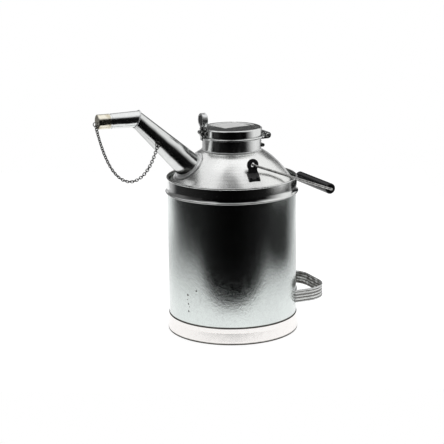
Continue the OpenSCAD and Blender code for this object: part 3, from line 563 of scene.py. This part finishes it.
def hangingChain(s):
    way = linkMiddles()
    hole = (s["ring"] - s["wire"]) * s["long"]
    grow = (way[1] - way[0]).length / 2 - hole
    way[0] += (way[0] - way[1]).normalized() * grow
    way[-1] += (way[-1] - way[-2]).normalized() * grow
    runs = [(b - a).length for a, b in zip(way, way[1:])]
    count = round(sum(runs) / (hole * 2)) + 1
    one = bmesh.new()
    bmesh.ops.create_circle(one, segments=8, radius=s["wire"])
    bmesh.ops.rotate(one, verts=one.verts, matrix=Matrix.Rotation(pi / 2, 3, "X"))
    bmesh.ops.translate(one, verts=one.verts, vec=(s["ring"], 0, 0))
    bmesh.ops.spin(one, geom=one.verts[:] + one.edges[:], cent=(0, 0, 0), axis=(0, 0, 1), angle=2 * pi, steps=18,
                   use_merge=True)
    bmesh.ops.remove_doubles(one, verts=one.verts, dist=0.000001)
    bmesh.ops.scale(one, verts=one.verts, vec=(s["long"], 1, 1))
    link = bpy.data.meshes.new("chainLink")
    one.to_mesh(link)
    one.free()
    bm = bmesh.new()
    for i in range(count):
        along = sum(runs) * i / (count - 1)
        step = 0
        while step < len(runs) - 1 and along > runs[step]:
            along -= runs[step]
            step += 1
        tangent = (way[step + 1] - way[step]).normalized()
        level = Vector((0, 1, 0)).cross(tangent).normalized()
        middle = way[step] + tangent * along
        turn = s["turn"] + 90 * (i % 2) + s["sway"] * noise.noise(Vector((i * 1.7, 0, 0)))
        placed = Matrix((tangent, Vector((0, 1, 0)), level)).transposed() @ Matrix.Rotation(radians(turn), 3, "X")
        first = len(bm.verts)
        bm.from_mesh(link)
        bm.verts.ensure_lookup_table()
        bmesh.ops.transform(bm, matrix=Matrix.Translation(middle) @ placed.to_4x4(), verts=bm.verts[first:])
    bpy.data.meshes.remove(link)
    chain = newPiece("hangingChain", bm, chainSteel)
    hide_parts("cap_chain")
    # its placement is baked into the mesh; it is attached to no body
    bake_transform(chain)
    print("chain hung:", count, "links on a way of", len(way), "points")


hangingChain(chainLinks)

label = {
    "middle": (0.0036, 0.0140),
    "size": (0.0502, 0.0423),
    "turn": 11.7,
    "thick": 0.00018,
    "paper": (0.95, 0.95, 0.94, 1),
    "worn": (0.66, 0.66, 0.64, 1),
}


def paperFinish(s):
    f = Finish("labelPaper")
    fibre = f.noise(f.at, 900, 4.0, 0.7)
    rub = f.ramp(f.noise(f.at, 130, 5.0, 0.7), 0.52, 0.78)
    colour = f.mix(rub * 0.4 + fibre * 0.1, s["paper"], s["worn"])
    return f.done(Base_Color=colour, Roughness=0.45 + fibre * 0.2, Normal=f.bump(fibre, 0.00008, 0.5),
                  Specular_IOR_Level=0.4)


def blankLabel(s):
    lid = surfaceOf("lid")
    bm = bmesh.new()
    bmesh.ops.create_grid(bm, x_segments=28, y_segments=24, size=0.5)
    bmesh.ops.scale(bm, verts=bm.verts, vec=(s["size"][0], s["size"][1], 1))
    bmesh.ops.rotate(bm, verts=bm.verts, matrix=Matrix.Rotation(radians(s["turn"]), 3, "Z"))
    bmesh.ops.translate(bm, verts=bm.verts, vec=(*s["middle"], 0))
    under = {}
    for v in bm.verts:
        hit = lid.ray_cast(Vector((v.co.x, v.co.y, 0.4)), Vector((0, 0, -1)))[0]
        under[v] = hit.z if hit else 0.3405
        v.co.z = under[v]
    for i in range(12):
        bmesh.ops.smooth_vert(bm, verts=bm.verts, factor=0.5, use_axis_z=True)
        for v in bm.verts:
            v.co.z = max(v.co.z, under[v])
    bmesh.ops.translate(bm, verts=bm.verts, vec=(0, 0, s["thick"] + 0.00005))
    bmesh.ops.solidify(bm, geom=bm.faces[:], thickness=s["thick"])
    newPiece("lidLabel", bm, paperFinish(s), "lid_group")


blankLabel(label)
print("solder and label made")


# studio: a white table in a dark tent with a pale ceiling, a pale card at the right and a grey one at the left
studio = {
    # corners of the table top: metres to the camera's right, and towards the camera
    "table": ((-0.48, 0.31), (0.50, 0.31), (0.50, -1.30), (-0.70, -1.30), (-0.88, -0.22)),
    "floor": (0.36, 0.36, 0.36, 1),
    "lift": (0.86, 0.86, 0.86, 1),
    "greySheet": (0.30, 0.30, 0.30, 1),
    "tent": 12.0,
    "ceiling": 0.85,
    "wall": 0.07,
    "backdrop": 0.75,
    "under": 0.0015,
    "behind": 0.45,
    # each card: ends as (right, towards camera), foot, top, and light at the near and far end
    "rightCard": ((0.63, 0.78), (0.70, -0.95), 0.12, 1.3, 0.0, 0.88),
    "leftCard": ((-0.70, 0.60), (-0.95, -1.10), 0.15, 0.55, 0.03, 0.16),
}
towardCamera = Vector((-0.40669, -0.91356, 0))
toRight = Vector((0.91356, -0.40669, 0))


def stagePlace(right, toward, height):
    return toRight * right + towardCamera * toward + Vector((0, 0, height))


def stageObject(name, bm, mat):
    mesh = bpy.data.meshes.new(name)
    bm.to_mesh(mesh)
    bm.free()
    mesh.materials.append(mat)
    obj = bpy.data.objects.new(name, mesh)
    bpy.context.scene.collection.objects.link(obj)
    return obj


def stageSheet(name, corners, mat):
    bm = bmesh.new()
    bmesh.ops.contextual_create(bm, geom=[bm.verts.new(c) for c in corners])
    return stageObject(name, bm, mat)


def tableTop(s):
    t = Finish("tablePaper")
    paper = t.add("BsdfPrincipled", Base_Color=s["floor"], Roughness=0.8, Specular_IOR_Level=0.2)
    both = t.add("AddShader", s0=paper, s1=t.add("Emission", Color=s["lift"]))
    t.add("OutputMaterial", Surface=t.add("MixShader", s0=t.straight(), s1=paper, s2=both))
    stageSheet("tableTop", [stagePlace(*c, -0.0004) for c in s["table"]], t.mat)


# lies round the table's edge, and shows in the metal alone
def greySheet(s):
    t = Finish("greyPaper")
    toward = t.x * towardCamera.x + t.y * towardCamera.y
    away = t.ramp(t.radius(), 0.17, 0.76) * t.ramp(toward, -0.85, -0.05)
    grey = t.add("BsdfPrincipled", Base_Color=s["greySheet"], Roughness=0.8, Specular_IOR_Level=0.2)
    t.add("OutputMaterial", Surface=t.add("MixShader", s0=away, s1=t.add("BsdfTransparent"), s2=grey))
    sheet = stageSheet("greySheet", [stagePlace(*c, -0.0002) for c in s["table"]], t.mat)
    sheet.visible_camera = False
    sheet.visible_shadow = False
    sheet.visible_diffuse = False


def sideCard(name, s):
    near, far, foot, top, nearLight, farLight = s
    t = Finish(name)
    toward = t.x * towardCamera.x + t.y * towardCamera.y
    height = t.ramp(t.z, 0.30, 0.60)
    level = (1 - t.ramp(toward, 0.1, near[1])) * height + (1 - t.ramp(toward, -0.10, near[1] * 0.60)) * (1 - height)
    level = level * (farLight - nearLight) + nearLight
    t.add("OutputMaterial", Surface=t.add("Emission", Color=t.join(level, level, level)))
    corners = (stagePlace(*near, foot), stagePlace(*far, foot), stagePlace(*far, top), stagePlace(*near, top))
    card = stageSheet(name, corners, t.mat)
    card.visible_camera = False
    card.visible_shadow = False


# how light the room is towards a direction
def roomLevel(t, s, way):
    x, y, z = t.split(way)
    flat = (x * x + y * y).most(0.0001) ** 0.5
    ahead = (x * towardCamera.x + y * towardCamera.y) / flat
    front = t.ramp(ahead, 0.30, 0.60) * (1 - t.ramp(z, 0.60, 0.82))
    backdrop = (1 - t.ramp(ahead, -0.9, -0.5)) * (1 - t.ramp(z, 0.02, 0.15)) * s["backdrop"]
    upper = t.ramp(z, 0.42, 0.60) * (s["ceiling"] - s["wall"]) + s["wall"] + backdrop
    upper = upper * (1 - front) + s["under"]
    lower = (1 - t.ramp(ahead, -0.75, -0.40)) * s["behind"] + (1 - ahead) * 0.02 + s["under"]
    # a dark place right over the camera
    upper = upper * (1 - t.ramp(ahead, 0.76, 0.96) * (1 - t.ramp(z, 0.955, 0.995)) * 0.82)
    level = t.add("Mix", {"data_type": "FLOAT"}, s0=t.ramp(z, -0.06, 0.0), s2=lower, s3=upper)
    return t.join(level, level, level * 1.01)


# the tent is what the metal shows; it gives no light of its own
def darkTent(s):
    bm = bmesh.new()
    bmesh.ops.create_uvsphere(bm, u_segments=48, v_segments=24, radius=s["tent"])
    t = Finish("tentCloth")
    way = t.add("VectorMath", {"operation": "NORMALIZE"}, s0=t.at)
    t.add("OutputMaterial", Surface=t.add("Emission", Color=roomLevel(t, s, way)))
    t.mat.cycles.emission_sampling = "NONE"
    tent = stageObject("darkTent", bm, t.mat)
    tent.visible_camera = False
    tent.visible_diffuse = False
    tent.visible_shadow = False


def roomLight(s):
    world = bpy.data.worlds.new("studioRoom")
    bpy.context.scene.world = world
    world.use_nodes = True
    t = Tree(world.node_tree)
    room = t.add("Background", Color=roomLevel(t, s, t.add("TexCoord", out=0)), Strength=1.0)
    white = t.add("Background", Color=(1, 1, 1, 1), Strength=1.0)
    t.add("OutputWorld", Surface=t.add("MixShader", s0=t.straight(), s1=room, s2=white))


tableTop(studio)
greySheet(studio)
sideCard("rightCard", studio["rightCard"])
sideCard("leftCard", studio["leftCard"])
darkTent(studio)
roomLight(studio)

lamps = {
    "top": {"place": (0.1, 0.1, 1.7), "size": 1.3, "power": 1.0},
    "left": {"place": (-1.6, -0.7, 1.35), "size": 1.0, "power": 0.8},
    "right": {"place": (1.5, -1.1, 1.4), "size": 1.0, "power": 0.8},
}


def addLamp(name, s, aim=(0, 0, 0.2)):
    data = bpy.data.lights.new(name, "AREA")
    data.shape = "SQUARE"
    data.size = s["size"]
    data.energy = s["power"]
    lamp = bpy.data.objects.new(name, data)
    bpy.context.scene.collection.objects.link(lamp)
    lamp.location = s["place"]
    lamp.rotation_euler = (Vector(aim) - Vector(s["place"])).to_track_quat("-Z", "Y").to_euler()


for lampName, lampSet in lamps.items():
    addLamp(lampName + "Softbox", lampSet)
print("studio lit")

bpy.context.scene.view_settings.view_transform = "Standard"
